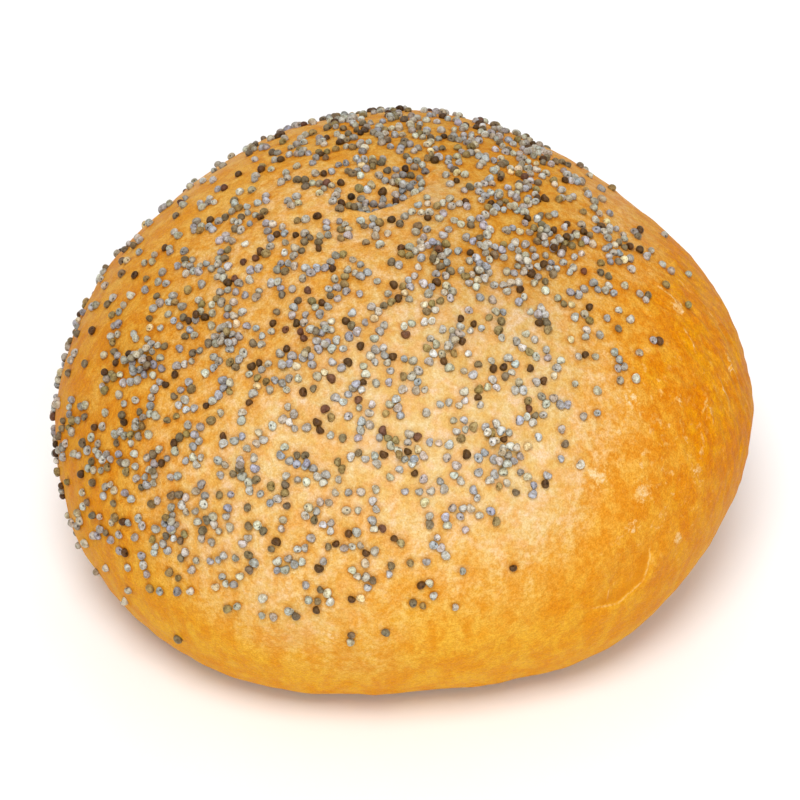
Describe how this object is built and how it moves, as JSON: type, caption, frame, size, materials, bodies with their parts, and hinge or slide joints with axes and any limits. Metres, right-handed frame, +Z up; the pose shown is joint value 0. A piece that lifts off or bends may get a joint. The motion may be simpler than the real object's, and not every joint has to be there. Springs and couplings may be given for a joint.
{
  "type": "poppy seed bread roll",
  "caption": "Round domed bread roll with a smooth golden crust, a flat base and a cap of poppy seeds that leans to one side.",
  "frame": {"origin": "middle of the roll's box, on its flat base", "axes": "+Z up from the base through the crown, -Y towards the side that the picture shows, +X to the right there"},
  "size_m": [0.0942, 0.0928, 0.0561],
  "materials": {
    "crust": "golden baked crust, satin, with paler mottling",
    "seeds": "matt grey-blue poppy seeds with some brown, olive and cream ones"
  },
  "bodies": {
    "root": {"bread_roll": "crust"}
  },
  "joints": []
}
